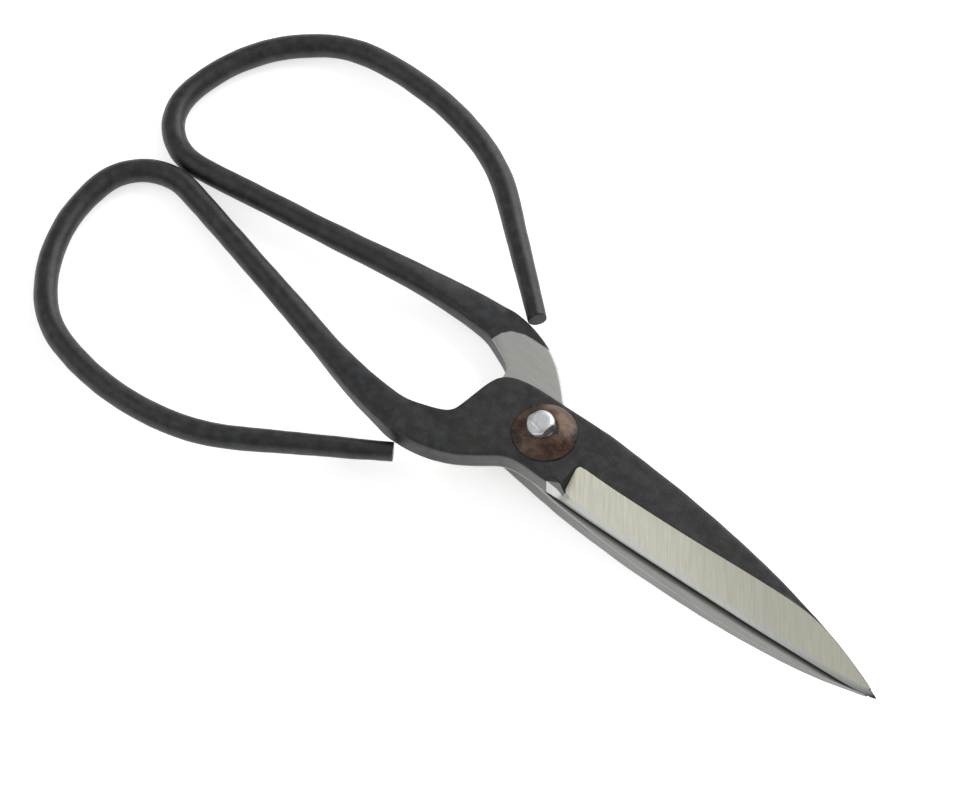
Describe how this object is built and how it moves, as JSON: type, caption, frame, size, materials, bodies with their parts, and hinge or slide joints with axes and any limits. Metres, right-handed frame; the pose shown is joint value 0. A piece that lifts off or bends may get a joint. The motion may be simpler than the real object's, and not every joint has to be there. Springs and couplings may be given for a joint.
{
  "type": "grass shears",
  "caption": "Forged steel grass shears with bevelled blades, a domed-washer rivet pivot and large open bows of round bar that start at the heel and curl back to it.",
  "frame": {"origin": "centre of the rivet's flat back end, on the pivot axis", "axes": "+X from the pivot to the blade tips, +Y to the rear half's bow, +Z along the rivet from the back half to the front half"},
  "size_m": [0.213, 0.1079, 0.0191],
  "materials": {
    "black_forging": "black forge scale, ground bright on bevel and inner face",
    "edge_steel": "honed",
    "bright_rivet": "bright, hammered",
    "brown_washer": "brown heat scale"
  },
  "bodies": {
    "rear": {"rear_half": "black_forging", "rear_edge_steel": "edge_steel", "pivot_rivet": "bright_rivet", "front_washer": "brown_washer", "back_washer": "brown_washer"},
    "front": {"front_half": "black_forging", "front_edge_steel": "edge_steel"}
  },
  "joints": [
    {"name": "pivot", "type": "hinge", "parent": "rear", "child": "front", "pos_m": [0, 0, 0.00855], "axis": [0, 0, 1], "range_deg": [0, 110]}
  ]
}
